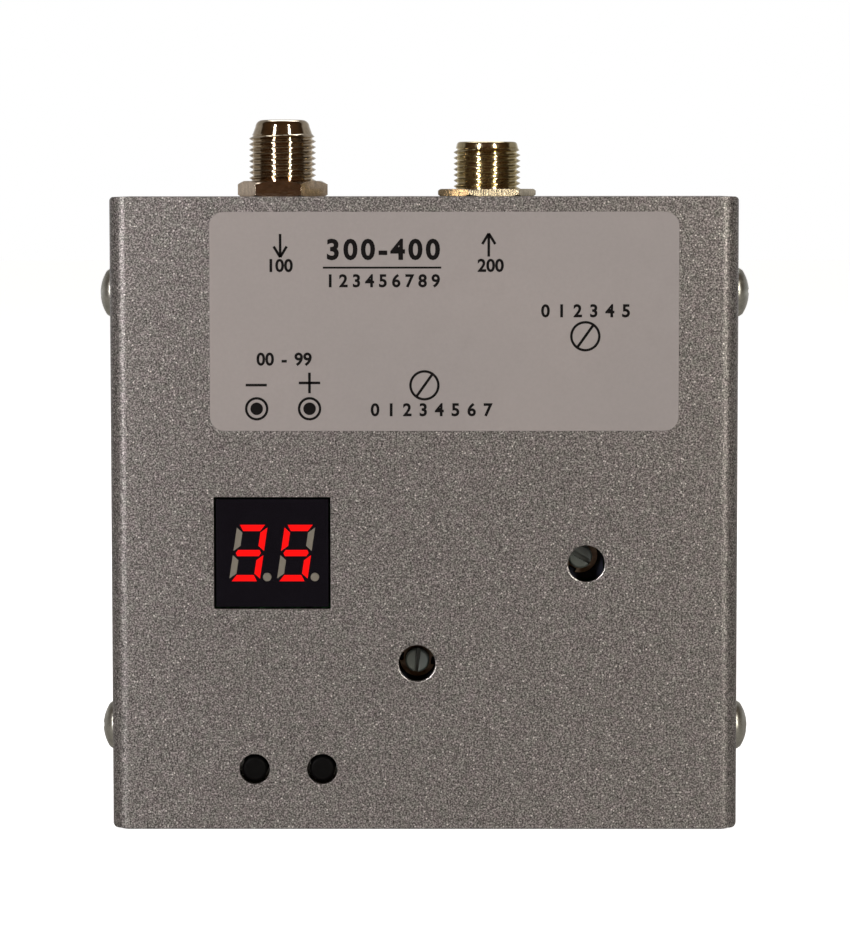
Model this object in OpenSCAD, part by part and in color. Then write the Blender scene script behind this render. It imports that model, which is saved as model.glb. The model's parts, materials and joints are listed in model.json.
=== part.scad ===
// Radio frequency modulator in a folded sheet metal case, standing upright.
// The front faces -Y and the connectors stand on top.
// The origin lies on the standing surface, under the middle of the case.

/* [Case] */
// Width of the cover, outside
case_w = 87.2; // [82:0.1:105]
// Height of the chassis, from its foot to its top
case_h = 88.2; // [85:0.1:105]
// Depth of the case, from front face to back face
case_d = 30; // [28:0.5:42]
// Thickness of the folded sheet
sheet_t = 1; // [0.8:0.1:1.4]
// Inside radius of every fold
fold_r = 1.5; // [0.8:0.1:2]
// Rounding of the cover's corners, seen from the front
corner_r = 0.7; // [0.5:0.1:2]
// How far the chassis stands past the cover's lower and back edges
reveal = 0.3; // [0.1:0.05:0.6]
// Gap between the cover and the chassis inside it
slip = 0.1; // [0.05:0.05:0.2]

/* [Case screws] */
// Diameter of a case screw's shank
screw_d = 3.5; // [3:0.1:4.2]
// Length of a case screw under its head
screw_l = 6; // [4.5:0.5:8]
// Diameter of a case screw's pan head
head_d = 7; // [6:0.1:8]
// Height of a case screw's pan head
head_h = 2.4; // [1.8:0.1:3]
// Height of the lower screws above the foot
screw_low_z = 12.8; // [11:0.1:18]
// Distance of the upper screws below the top
screw_drop = 13.6; // [11:0.1:17]
// Distance of the screws in front of the back face
screw_from_back = 15; // [12:0.1:16]

/* [Label film] */
// Width of the film
label_w = 64.9; // [50:0.1:70]
// Height of the film
label_h = 30.3; // [20:0.1:34]
// Thickness of the film
label_t = 0.15; // [0.1:0.05:0.3]
// Rounding of the film's corners
label_r = 2; // [0.5:0.1:4]
// Middle of the film, to the right of the middle of the case
label_x = 2.8; // [0:0.05:5]
// Top edge of the film below the top of the case
label_drop = 2.06; // [1.5:0.01:5]

/* [Display] */
// Width of the display block
display_w = 15.6; // [14.5:0.1:17]
// Height of the display block
display_h = 15; // [13:0.1:17]
// Depth of the display block
display_d = 7.2; // [6:0.1:8]
// Gap around the display in its window
window_gap = 0.3; // [0.2:0.05:0.5]
// Middle of the display, across
display_x = -21.1; // [-25:0.1:-18]
// Middle of the display below the top of the case
display_drop = 49.35; // [46:0.05:54]
// Face of the display behind the front face
display_recess = 0.25; // [0.1:0.05:0.8]
// Width of a digit, square to its height
digit_w = 4.24; // [3.8:0.02:4.6]
// Height of a digit
digit_h = 7.87; // [7:0.01:9]
// Distance between the two digits
digit_pitch = 6.62; // [6.2:0.02:7]
// Lean of the digits, in degrees
digit_lean = 8.5; // [0:0.5:10]
// Stroke of a segment
stroke = 0.87; // [0.6:0.01:1]

/* [Controls] */
// Diameter of a button's stem
button_d = 3.5; // [3:0.1:3.8]
// Hole of a button in the cover
button_hole_d = 4.25; // [4.1:0.05:5]
// Height of the buttons above the foot
button_z = 8.6; // [8:0.01:12]
// Left button, channel down, across
down_x = -23.65; // [-26:0.01:-22]
// Right button, channel up, across
up_x = -14.22; // [-15:0.01:-12]
// End of a button behind the front face
button_recess = 0.4; // [0.1:0.05:1]
// Travel of a button
button_travel = 0.3; // [0.2:0.05:0.5]
// Access hole of a trimmer in the cover
trimmer_hole_d = 5.11; // [4.5:0.01:6]
// Audio trimmer hole, across
audio_x = -1; // [-4:0.1:2]
// Audio trimmer hole above the foot
audio_z = 23.45; // [18:0.01:26]
// Radio trimmer hole, across
rf_x = 22.51; // [19:0.01:26]
// Radio trimmer hole above the foot
rf_z = 37.36; // [33:0.01:42]
// Diameter of a trimmer's rotor
rotor_d = 3.36; // [3:0.01:3.8]
// Face of a rotor behind the front face
rotor_recess = 3.6; // [2.5:0.1:4]

/* [Antenna connectors] */
// Connector axes behind the front face
connector_depth = 15; // [14:0.5:18]
// Input connector, across
in_x = -20.1; // [-21.5:0.1:-17]
// Output connector, across
out_x = 8.85; // [6:0.05:10.5]
// Input nose above the case
in_rise = 10.8; // [9:0.1:13]
// Output nose above the case
out_rise = 7.7; // [7:0.1:12]
// Diameter over the threads
thread_d = 9.45; // [9.2:0.01:9.6]
// Input nut, across its flats
in_nut_w = 11.1; // [10.5:0.1:13]
// Input nut's thickness
in_nut_t = 2.2; // [1.5:0.05:3]
// Output nut, across its flats
out_nut_w = 12.2; // [11:0.1:14]
// Output nut's thickness
out_nut_t = 1.05; // [1:0.05:2.5]

/* [Board] */
// Front face of the board behind the front face of the case
board_depth = 9.5; // [9.2:0.1:10.5]
// Thickness of the board
board_t = 1.6; // [1:0.1:2]
// Gap between the board's edge and the ends of the case screws
board_side = 0.8; // [0.5:0.1:3]
// Lower edge of the board above the chassis floor
board_foot = 3; // [2:0.1:3.5]
// Upper edge of the board below the top of the case
board_drop = 9; // [8.5:0.1:10]

/* [Jacks] */
// Power jack, across
power_x = 20; // [17:0.5:24]
// Hole for the power plug
power_bore_d = 6.3; // [5.8:0.1:6.6]
// Pin of the power jack
power_pin_d = 2.1; // [1.9:0.05:2.5]
// Sound and picture jack, across
av_x = -8; // [-12:0.5:0]
// Hole for the sound and picture plug
av_bore_d = 3.6; // [3.5:0.05:3.7]

/* [Hidden] */
$fn = 64;

// How far a cut runs past what it cuts
overrun = 0.5;
// Clearance of fixed pieces inside one another
snug = 0.05;
// Clearance of a shaft that turns or slides in its hole
running = 0.06;

// Planes of the case
front_y = -case_d / 2;
back_y = case_d / 2;
inner_front_y = front_y + sheet_t;
inner_back_y = back_y - sheet_t;
floor_z = sheet_t;
ceiling_z = case_h - sheet_t;
fold_out_r = fold_r + sheet_t;

// Cover: front wall with two side walls
cover_d = case_d - reveal;
cover_h = case_h - reveal;

// Chassis: back, top and bottom walls, with four tabs for the case screws
chassis_w = case_w - 2 * (sheet_t + slip);
chassis_front_y = inner_front_y + slip;
chassis_d = back_y - chassis_front_y;
tab_h = 11;
tab_d = screw_from_back + tab_h / 2;
relief_w = 1;
screw_y = back_y - screw_from_back;
screw_high_z = case_h - screw_drop;
screw_zs = [screw_low_z, screw_high_z];
head_side = 0.9;

// Board and what stands between it and the back wall
board_y = front_y + board_depth;
board_back_y = board_y + board_t;
board_w = case_w - 2 * (screw_l + board_side);
board_low_z = floor_z + board_foot;
board_high_z = case_h - board_drop;
board_h = board_high_z - board_low_z;
standoff_w = 5.5;
standoff_inset_x = 5;
standoff_inset_z = 4.2;
standoff_tap = 8;
board_screw_d = 3;
board_head_d = 5.5;
board_head_h = 2;
board_head_side = 0.7;
board_screw_l = 7;
standoff_places = [for (s = [-1, 1], z = [board_low_z + standoff_inset_z, board_high_z - standoff_inset_z])
    [s * (board_w / 2 - standoff_inset_x), z]];

// Display
display_y = front_y + display_recess;
display_z = case_h - display_drop;
display_back_y = display_y + display_d;
segment_d = 1.2;
dot_d = 1.16;
dot_x = 3.1;
corner_cut = 0.38;
flat_mitre = 0.56;
upright_mitre = 0.7;
middle_gap = 0.3;
bar_tip = 0.25;
pin_d = 0.6;
pin_pitch = 2.54;
pin_count = 5;
pin_row_gap = 10.16;
pin_tail = 1.2;
socket_w = 2.5;
display_pin_places = [for (row = [-1, 1], i = [0 : pin_count - 1])
    [display_x + (i - (pin_count - 1) / 2) * pin_pitch, display_z + row * pin_row_gap / 2]];
// Segments a to g of the left and the right digit: 1 is lit
lit_digits = [[1, 1, 1, 1, 0, 0, 1], [1, 0, 1, 1, 0, 1, 1]];

// Push switches
switch_w = 6;
switch_h = 3.5;
plate_t = 0.3;
cavity_d = 4.9;
flange_d = 4.5;
flange_t = 0.5;
flange_gap = 0.05;
button_bevel = 0.3;
dome_w = 4.4;
dome_h = 0.45;
dome_t = 0.1;
dome_gap = 0.2;
cavity_depth = flange_gap + flange_t + button_travel + dome_gap + dome_h;
leg_w = 0.7;
leg_t = 0.3;
leg_foot = 0.9;
leg_pitch = 4.5;
leg_rise = 1.2;
switch_top_y = board_y - switch_h;
plate_back_y = switch_top_y + plate_t;

// Trimmers
trimmer_w = 6.6;
trimmer_h = 3;
trimmer_bevel = 0.6;
track_out_d = 5.8;
track_in_d = 3.8;
track_t = 0.12;
track_gap = 90;
wiper_d = 5;
wiper_t = 0.3;
wiper_gap = 0.15;
wiper_notch = 1.1;
rotor_stem_d = 2;
rotor_stem_gap = 0.4;
rotor_bevel = 0.25;
slot_w = 0.65;
slot_d = 0.8;
rotor_y = front_y + rotor_recess;
trimmer_y = board_y - trimmer_h;
wiper_y = trimmer_y - track_t - wiper_gap - wiper_t;
audio_turn = -8;
rf_turn = 61;
rf_shift_x = -0.74;
rf_shift_z = 0.7;
audio_place = [audio_x, audio_z];
rf_place = [rf_x + rf_shift_x, rf_z + rf_shift_z];

// Antenna connectors
connector_y = front_y + connector_depth;
neck_d = 8.9;
nut_gap = 0.1;
nut_bevel = 0.25;
in_nut_crown = 0.5;
in_nose_d = 7.7;
in_nose_h = 1.95;
in_nose_r = 1.05;
in_nose_flare = 0.35;
out_nose_d = 8.6;
out_nose_h = 0.85;
out_nose_r = 0.5;
out_nose_flare = 0.1;
thread_bevel = 0.4;
shoulder_d = 12.5;
shoulder_t = 1.5;
washer_d = 13;
washer_t = 0.5;
washer_teeth = 12;
washer_tooth_d = 0.9;
washer_notch_w = 0.8;
barrel_d = 7.6;
barrel_l = 4;
shell_bore_d = 5.6;
shell_floor = 1;
tail_hole_d = 3;
insulator_recess = 0.4;
entry_d = 3;
entry_depth = 0.9;
guide_d = 1.4;
contact_d = 2;
contact_bore_d = 1;
contact_bore_depth = 5;
contact_below = 2.2;
contact_slit_w = 0.25;
contact_slit = 3;
tail_d = 0.9;
tail_in_can = 4;
in_turn = -4;
out_turn = 9;
shoulder_high_z = ceiling_z - washer_t;
shoulder_low_z = shoulder_high_z - shoulder_t;
barrel_low_z = shoulder_low_z - barrel_l;
shell_floor_z = barrel_low_z + shell_floor;

// Screened modulator on the back of the board
can_side = 6.6;
can_h = 25;
can_behind = 8;
can_t = 0.5;
can_edge = 1;
can_lid_t = 0.4;
can_rim = 3;
can_x = (in_x + out_x) / 2;
can_w = out_x - in_x + 2 * can_side;
can_high_z = board_high_z - can_edge;
can_low_z = can_high_z - can_h;
can_d = connector_y + can_behind - board_back_y;
tail_low_z = can_high_z - tail_in_can;
coil_w = 7;
coil_h = 8;
coil_wall = 0.4;
core_d = 4;
core_h = 6;
coil_place_shares = [[0.16, 0.4], [0.84, 0.4]];
saw_w = 9.6;
saw_h = 5;
saw_d = 3.4;
saw_place_shares = [0.5, 0.74];
modulator_chip_place_shares = [0.5, 0.3];

// Chips with gull wing legs
chip_l = 12.8;
chip_w = 7.5;
chip_h = 2.3;
chip_lift = 0.2;
chip_draft = 0.25;
chip_dimple_d = 1;
chip_dimple_depth = 0.1;
chip_dimple_inset = 1.4;
chip_pitch = 1.27;
chip_pins = 10;
wing_w = 0.42;
wing_t = 0.25;
wing_out = 1.35;
wing_foot = 0.8;
micro_place_shares = [0.42, 0.45];
micro_place = on_board(micro_place_shares);
modulator_chip_place = in_can(modulator_chip_place_shares);

// Crystal, regulator and capacitors on the back of the board
crystal_l = 11;
crystal_w = 4.6;
crystal_h = 3.6;
crystal_rim = 0.4;
crystal_rim_t = 0.5;
crystal_place_shares = [0.42, 0.28];
sink_l = 20;
sink_t = 1.4;
sink_h = 9;
sink_fins = 5;
sink_slit_w = 1.2;
sink_slit_y = 2.6;
sink_gap = 1.1;
sink_place_shares = [0.84, 0.72];
regulator_w = 10;
sink_w = regulator_w + 2 * (sink_t + sink_gap);
regulator_l = 9;
regulator_h = 4.4;
regulator_tab_l = 6.2;
regulator_tab_t = 1.3;
regulator_hole_d = 3.7;
regulator_leg_w = 0.8;
regulator_leg_t = 0.5;
regulator_leg_gap = 0.8;
regulator_leg_pitch = 2.54;
capacitor_ds = [10, 6.3, 6.3];
capacitor_hs = [13, 11, 11];
capacitor_crimp = 0.5;
capacitor_crimp_at = 2;
capacitor_round = 0.6;
capacitor_place_shares = [[0.84, 0.36], [0.64, 0.42], [0.64, 0.28]];

// Power jack
power_w = 9;
power_l = 14;
power_rise = 6.5;
power_collar_d = 8.4;
power_bore_l = 10.5;
power_pin_recess = 0.8;
jack_sink = 0.2;
power_y = board_back_y + power_rise;

// Sound and picture jack
av_w = 7;
av_l = 13;
av_rise = 3.5;
av_h = 7;
av_collar_d = 6;
av_bore_l = 12;
av_bevel = 0.8;
av_y = board_back_y + av_rise;
contact_w = 1.2;
contact_t = 0.3;
contact_h = 4;
contact_place_shares = [0.25, 0.5, 0.75];

// Places given as shares of the board, and of the inside of the screening can
function on_board(share) = [(share[0] - 1 / 2) * board_w, board_low_z + share[1] * board_h];
function in_can(share) = [can_x + (share[0] - 1 / 2) * can_w, can_low_z + share[1] * can_h];

// Outline in X and Z made into a plate from depth y to y + t
module slab(y, t) translate([0, y + t, 0]) rotate([90, 0, 0]) linear_extrude(t) children();

// Outline in Y and Z made into a plate from x to x + t
module cheek(x, t) translate([x, 0, 0]) rotate([90, 0, 90]) linear_extrude(t) children();

// Round peg or hole along Y at a place in X and Z
module peg(place, y, t, d) slab(y, t) translate(place) circle(d = d);

// Shape turned about the Y axis through a place, its own +Z pointing at the viewer
module facing(place, y) translate([place[0], y, place[1]]) rotate([90, 0, 0]) children();

// Shape with its own +Z pointing away from the viewer
module backing(place, y) translate([place[0], y, place[1]]) rotate([-90, 0, 0]) children();

// Rectangle about the middle with round corners
module rounded(w, h, r) {
    square([w - 2 * r, h], center = true);
    square([w, h - 2 * r], center = true);
    for (x = [-1, 1], y = [-1, 1]) translate([x * (w / 2 - r), y * (h / 2 - r)]) circle(r);
}

// Plan of a box with round front corners, from its front middle
module front_fold(w, d, r) {
    translate([-w / 2, r]) square([w, d - r]);
    translate([r - w / 2, 0]) square([w - 2 * r, d]);
    for (s = [-1, 1]) translate([s * (w / 2 - r), r]) circle(r);
}

// Side view of a box with round back corners, from its lower front corner
module back_fold(d, h, r) {
    square([d - r, h]);
    translate([0, r]) square([d, h - 2 * r]);
    for (z = [r, h - r]) translate([d - r, z]) circle(r);
}

// Plan of a corner that is round at the origin and runs back along -X and -Y
module fold_corner(w, d, r) {
    translate([-w, -d]) square([w, d - r]);
    translate([-w, -d]) square([w - r, d]);
    translate([-r, -r]) circle(r);
}

module display_outline(gap) translate([display_x, display_z])
    square([display_w + 2 * gap, display_h + 2 * gap], center = true);

module cover() color("#7d7673") difference() {
    intersection() {
        translate([0, front_y, reveal]) linear_extrude(cover_h) difference() {
            front_fold(case_w, cover_d, fold_out_r);
            translate([0, sheet_t]) front_fold(case_w - 2 * sheet_t, cover_d, fold_r);
        }
        slab(front_y - overrun, case_d + 2 * overrun)
            translate([0, reveal + cover_h / 2]) rounded(case_w, cover_h, corner_r);
    }
    slab(front_y - overrun, sheet_t + 2 * overrun) display_outline(window_gap);
    for (x = [down_x, up_x])
        peg([x, button_z], front_y - overrun, sheet_t + 2 * overrun, button_hole_d);
    for (place = [[audio_x, audio_z], [rf_x, rf_z]])
        peg(place, front_y - overrun, sheet_t + 2 * overrun, trimmer_hole_d);
    for (z = screw_zs) cheek(-case_w / 2 - overrun, case_w + 2 * overrun)
        translate([screw_y, z]) circle(d = screw_d + 2 * slip);
}

module screw_tab() linear_extrude(tab_h) difference() {
    fold_corner(fold_out_r + relief_w, tab_d, fold_out_r);
    translate([-sheet_t, -sheet_t]) fold_corner(fold_out_r + relief_w, tab_d, fold_r);
}

module chassis() color("#7d7673") difference() {
    union() {
        difference() {
            intersection() {
                cheek(-chassis_w / 2, chassis_w) translate([chassis_front_y, 0]) difference() {
                    back_fold(chassis_d, case_h, fold_out_r);
                    translate([-overrun, sheet_t])
                        back_fold(chassis_d - sheet_t + overrun, case_h - 2 * sheet_t, fold_r);
                }
                translate([0, chassis_front_y, -overrun]) linear_extrude(case_h + 2 * overrun)
                    front_fold(chassis_w, chassis_d + overrun, fold_r - slip);
            }
            for (s = [0, 1], z = screw_zs) mirror([s, 0, 0])
                translate([chassis_w / 2 - fold_out_r, inner_back_y - overrun, z - tab_h / 2 - relief_w])
                    cube([fold_out_r + overrun, sheet_t + 2 * overrun, tab_h + 2 * relief_w]);
        }
        for (s = [0, 1], z = screw_zs) mirror([s, 0, 0])
            translate([chassis_w / 2, back_y, z - tab_h / 2]) screw_tab();
    }
    for (z = screw_zs) cheek(-case_w / 2 - overrun, case_w + 2 * overrun)
        translate([screw_y, z]) circle(d = screw_d + 2 * snug);
    for (x = [in_x, out_x]) translate([x, connector_y, ceiling_z - overrun])
        cylinder(d = neck_d + 2 * slip, h = sheet_t + 2 * overrun);
    translate([power_x, power_y, -overrun])
        cylinder(d = power_collar_d + 2 * slip, h = sheet_t + 2 * overrun);
    translate([av_x, av_y, -overrun]) cylinder(d = av_collar_d + 2 * slip, h = sheet_t + 2 * overrun);
}

// Pan head screw, its head on +Z above the origin and its shank below
module pan_screw(d, l, wide, high, side) {
    sag = high - side;
    dome_r = (wide * wide / 4 + sag * sag) / (2 * sag);
    rotate_extrude() intersection() {
        square([wide / 2, high]);
        translate([0, high - dome_r]) circle(dome_r);
    }
    translate([0, 0, -l]) cylinder(d = d, h = l);
}

module case_screws() color("#8b8c84") for (s = [-1, 1], z = screw_zs)
    translate([s * case_w / 2, screw_y, z]) rotate([0, s * 90, 0])
        pan_screw(screw_d, screw_l, head_d, head_h, head_side);

module label_film() color("#9c948f") slab(front_y - label_t, label_t)
    translate([label_x, case_h - label_drop - label_h / 2]) rounded(label_w, label_h, label_r);

// Point of a digit, leaned over to the right
function lean(p) = [p[0] + p[1] * tan(digit_lean), p[1]];
function flip(points, x, y) = [for (p = points) lean([x * p[0], y * p[1]])];
half_w = digit_w / 2;
half_h = digit_h / 2;
flat_bar = [[corner_cut - half_w, half_h], [half_w - corner_cut, half_h],
    [half_w - corner_cut - flat_mitre, half_h - stroke],
    [corner_cut + flat_mitre - half_w, half_h - stroke]];
upright_bar = [[half_w, half_h - corner_cut], [half_w, middle_gap],
    [half_w - stroke, middle_gap + upright_mitre],
    [half_w - stroke, half_h - corner_cut - upright_mitre]];
middle_bar = [[corner_cut - half_w, 0], [corner_cut + bar_tip - half_w, stroke / 2],
    [half_w - corner_cut - bar_tip, stroke / 2], [half_w - corner_cut, 0],
    [half_w - corner_cut - bar_tip, -stroke / 2], [corner_cut + bar_tip - half_w, -stroke / 2]];
// Outlines of the segments a to g
segment_outlines = [flip(flat_bar, 1, 1), flip(upright_bar, 1, 1), flip(upright_bar, 1, -1),
    flip(flat_bar, 1, -1), flip(upright_bar, -1, -1), flip(upright_bar, -1, 1), flip(middle_bar, 1, 1)];

module digits(state) for (d = [0, 1], s = [0 : 6]) if (lit_digits[d][s] == state)
    translate([display_x + (d - 1 / 2) * digit_pitch, display_z]) polygon(segment_outlines[s]);

module dots(gap) for (d = [0, 1]) translate([display_x + (d - 1 / 2) * digit_pitch, display_z])
    translate(lean([dot_x, dot_d / 2 - half_h])) circle(d = dot_d + 2 * gap);

module display_body() color("#121116") difference() {
    slab(display_y, display_d) display_outline(0);
    slab(display_y - overrun, segment_d + overrun) {
        digits(0);
        digits(1);
        dots(snug);
    }
}

module lit_segments() color("#ff0500") slab(display_y, segment_d) digits(1);

module unlit_segments() color("#645f57") slab(display_y, segment_d) {
    digits(0);
    dots(0);
}

module display_pins() color("#b9b7b0") for (place = display_pin_places)
    peg(place, display_back_y, board_back_y + pin_tail - display_back_y, pin_d);

module display_sockets() color("#1b1b1d") difference() {
    slab(display_back_y, board_y - display_back_y) for (row = [-1, 1])
        translate([display_x, display_z + row * pin_row_gap / 2])
            square([pin_count * pin_pitch, socket_w], center = true);
    for (place = display_pin_places)
        peg(place, display_back_y - overrun, board_y - display_back_y + 2 * overrun, pin_d + 2 * snug);
}

module main_board() color("#2f6b3c") difference() {
    slab(board_y, board_t) translate([-board_w / 2, board_low_z]) square([board_w, board_h]);
    for (place = standoff_places)
        peg(place, board_y - overrun, board_t + 2 * overrun, board_screw_d + 2 * slip);
    for (place = display_pin_places)
        peg(place, board_y - overrun, board_t + 2 * overrun, pin_d + 2 * snug);
}

module board_standoffs() color("#c9b26a") for (place = standoff_places) backing(place, board_back_y)
    difference() {
        cylinder(d = standoff_w / cos(30), h = inner_back_y - board_back_y, $fn = 6);
        translate([0, 0, -overrun]) cylinder(d = board_screw_d + 2 * snug, h = standoff_tap + overrun);
    }

module board_screws() color("#b9b7b0") for (place = standoff_places)
    facing(place, board_y)
        pan_screw(board_screw_d, board_screw_l, board_head_d, board_head_h, board_head_side);

module switch_housings() color("#232325") for (x = [down_x, up_x]) difference() {
    slab(plate_back_y, board_y - plate_back_y) translate([x, button_z]) square(switch_w, center = true);
    peg([x, button_z], plate_back_y - overrun, cavity_depth + overrun, cavity_d);
}

module switch_plates() color("#c3c4c4") for (x = [down_x, up_x]) slab(switch_top_y, plate_t)
    translate([x, button_z]) difference() {
        square(switch_w, center = true);
        circle(d = button_d + 2 * running);
    }

// Snap dome on the floor of the switch, a slice of a thin ball shell
module switch_domes() color("#d8d4c4") for (x = [down_x, up_x]) {
    ball_r = (dome_w * dome_w / 4 + dome_h * dome_h) / (2 * dome_h);
    facing([x, button_z], plate_back_y + cavity_depth) intersection() {
        translate([0, 0, dome_h - ball_r]) difference() {
            sphere(ball_r);
            sphere(ball_r - dome_t);
        }
        cylinder(d = dome_w, h = dome_h);
    }
}

module switch_legs() color("#c3c4c4") for (x = [down_x, up_x], s = [-1, 1], row = [-1, 1])
    translate([x + s * switch_w / 2, board_y, button_z + row * leg_pitch / 2 - leg_w / 2])
        mirror([s == 1 ? 0 : 1, 0, 0]) linear_extrude(leg_w)
            polygon([[0, 0], [leg_foot, 0], [leg_foot, -leg_t], [leg_t, -leg_t],
                [leg_t, -leg_rise], [0, -leg_rise]]);

// Button: a stem with a bevelled end and a flange that the switch plate holds in
module button(x) color("#18181a") {
    flange_front_y = plate_back_y + flange_gap;
    stem_l = flange_front_y - front_y - button_recess;
    facing([x, button_z], flange_front_y) rotate_extrude() polygon([[0, -flange_t], [flange_d / 2, -flange_t],
        [flange_d / 2, 0], [button_d / 2, 0], [button_d / 2, stem_l - button_bevel],
        [button_d / 2 - button_bevel, stem_l], [0, stem_l]]);
}

module channel_down_button() button(down_x);
module channel_up_button() button(up_x);

// Square trimmer base with bevelled corners and a bore for the rotor's stem
module trimmer_base(place) color("#2b3a66") difference() {
    slab(trimmer_y, trimmer_h) translate(place) difference() {
        square(trimmer_w, center = true);
        for (a = [45 : 90 : 315]) rotate(a)
            translate([norm([trimmer_w, trimmer_w]) / 2 - trimmer_bevel, -trimmer_w / 2]) square(trimmer_w);
    }
    peg(place, trimmer_y - overrun, trimmer_h + 2 * overrun, rotor_stem_d + 2 * running);
}

// Resistance track, open at the bottom between its two ends
module trimmer_track(place) color("#1a1a1a") slab(trimmer_y - track_t, track_t) translate(place)
    difference() {
        circle(d = track_out_d);
        circle(d = track_in_d);
        rotate(-90 - track_gap / 2) polygon([[0, 0], [track_out_d, 0],
            [track_out_d, track_out_d * tan(track_gap / 2)],
            [track_out_d * cos(track_gap), track_out_d * sin(track_gap)]]);
    }

module trimmer_wiper(place, turn) color("#c79a3b") slab(wiper_y, wiper_t) translate(place) rotate(turn)
    difference() {
        circle(d = wiper_d);
        circle(d = rotor_stem_d + 2 * snug);
        for (s = [-1, 1]) translate([s * wiper_d / 2, 0]) square([wiper_notch, wiper_notch], center = true);
    }

module trimmer_rotor(place, turn) color("#b7b8a6") facing(place, wiper_y) rotate(turn) difference() {
    head_l = wiper_y - rotor_y;
    stem_l = board_y - wiper_y - rotor_stem_gap;
    rotate_extrude() polygon([[0, -stem_l], [rotor_stem_d / 2, -stem_l], [rotor_stem_d / 2, 0],
        [rotor_d / 2, 0], [rotor_d / 2, head_l - rotor_bevel],
        [rotor_d / 2 - rotor_bevel, head_l], [0, head_l]]);
    translate([-slot_w / 2, -rotor_d, head_l - slot_d]) cube([slot_w, 2 * rotor_d, slot_d + overrun]);
}

module audio_trimmer_base() trimmer_base(audio_place);
module audio_trimmer_track() trimmer_track(audio_place);
module audio_trimmer_wiper() trimmer_wiper(audio_place, audio_turn);
module audio_trimmer_rotor() trimmer_rotor(audio_place, audio_turn);
module rf_trimmer_base() trimmer_base(rf_place);
module rf_trimmer_track() trimmer_track(rf_place);
module rf_trimmer_wiper() trimmer_wiper(rf_place, rf_turn);
module rf_trimmer_rotor() trimmer_rotor(rf_place, rf_turn);

// Turned shell: nose, threaded length, neck through nut and wall, shoulder and rear barrel
module shell(x, rise, nut_t, nose_d, nose_h, nose_r, flare) color("#a89f93")
    translate([x, connector_y, 0]) rotate_extrude() {
    nose_z = case_h + rise;
    thread_high_z = nose_z - nose_h;
    thread_low_z = case_h + nut_t + nut_gap;
    difference() {
        union() {
            translate([0, thread_high_z]) square([nose_d / 2 - nose_r, nose_h]);
            polygon([[0, thread_high_z], [nose_d / 2 + flare, thread_high_z],
                [nose_d / 2, nose_z - nose_r], [0, nose_z - nose_r]]);
            translate([nose_d / 2 - nose_r, nose_z - nose_r]) intersection() {
                circle(nose_r);
                square(nose_r);
            }
            polygon([[0, thread_low_z], [thread_d / 2, thread_low_z],
                [thread_d / 2, thread_high_z - thread_bevel],
                [thread_d / 2 - thread_bevel, thread_high_z], [0, thread_high_z]]);
            translate([0, shoulder_low_z]) square([neck_d / 2, thread_low_z - shoulder_low_z]);
            translate([0, shoulder_low_z]) square([shoulder_d / 2, shoulder_t]);
            translate([0, barrel_low_z]) square([barrel_d / 2, barrel_l]);
        }
        translate([0, shell_floor_z]) square([shell_bore_d / 2, nose_z]);
        translate([0, barrel_low_z - overrun]) square([tail_hole_d / 2, nose_z]);
    }
}

module connector_nut(x, wide, t, turn, crown) color("#a89f93")
    translate([x, connector_y, case_h]) rotate(turn) difference() {
    corner = wide / 2 / cos(30);
    bevel_w = nut_bevel / tan(30);
    crown_w = crown / tan(30);
    intersection() {
        cylinder(r = corner, h = t, $fn = 6);
        rotate_extrude() polygon([[0, 0], [corner - bevel_w, 0], [corner, nut_bevel], [corner, t - crown],
            [corner - crown_w, t], [0, t]]);
    }
    translate([0, 0, -overrun]) cylinder(d = neck_d + 2 * snug, h = t + 2 * overrun);
}

// Lock washer with teeth round its bore
module lock_washer(x) color("#c3c4c4") translate([x, connector_y, shoulder_high_z]) linear_extrude(washer_t)
    difference() {
        circle(d = washer_d);
        circle(d = neck_d + 2 * slip);
        for (i = [1 : washer_teeth]) rotate(i * 360 / washer_teeth)
            translate([0, -washer_notch_w / 2]) square([neck_d / 2 + slip + washer_tooth_d, washer_notch_w]);
    }

// Insulator with a funnel for the cable's wire
module insulator(x, rise) color("#e9e6dc") translate([x, connector_y, 0]) rotate_extrude() {
    top_z = case_h + rise - insulator_recess;
    room = contact_d / 2 + snug;
    polygon([[tail_d / 2 + snug, shell_floor_z], [shell_bore_d / 2 - snug, shell_floor_z],
        [shell_bore_d / 2 - snug, top_z], [entry_d / 2, top_z], [guide_d / 2, top_z - entry_depth],
        [guide_d / 2, top_z - contact_below], [room, top_z - contact_below],
        [room, shell_floor_z + shell_floor], [tail_d / 2 + snug, shell_floor_z + shell_floor]]);
}

// Slotted spring contact with a solder tail that reaches into the screening can
module contact(x, rise) color("#c9a04a") translate([x, connector_y, 0]) {
    top_z = case_h + rise - insulator_recess - contact_below - snug;
    low_z = shell_floor_z + shell_floor;
    difference() {
        translate([0, 0, low_z]) cylinder(d = contact_d, h = top_z - low_z);
        translate([0, 0, top_z - contact_bore_depth])
            cylinder(d = contact_bore_d, h = contact_bore_depth + overrun);
        translate([-contact_d, -contact_slit_w / 2, top_z - contact_slit])
            cube([2 * contact_d, contact_slit_w, contact_slit + overrun]);
    }
    translate([0, 0, tail_low_z]) cylinder(d = tail_d, h = low_z - tail_low_z);
}

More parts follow.
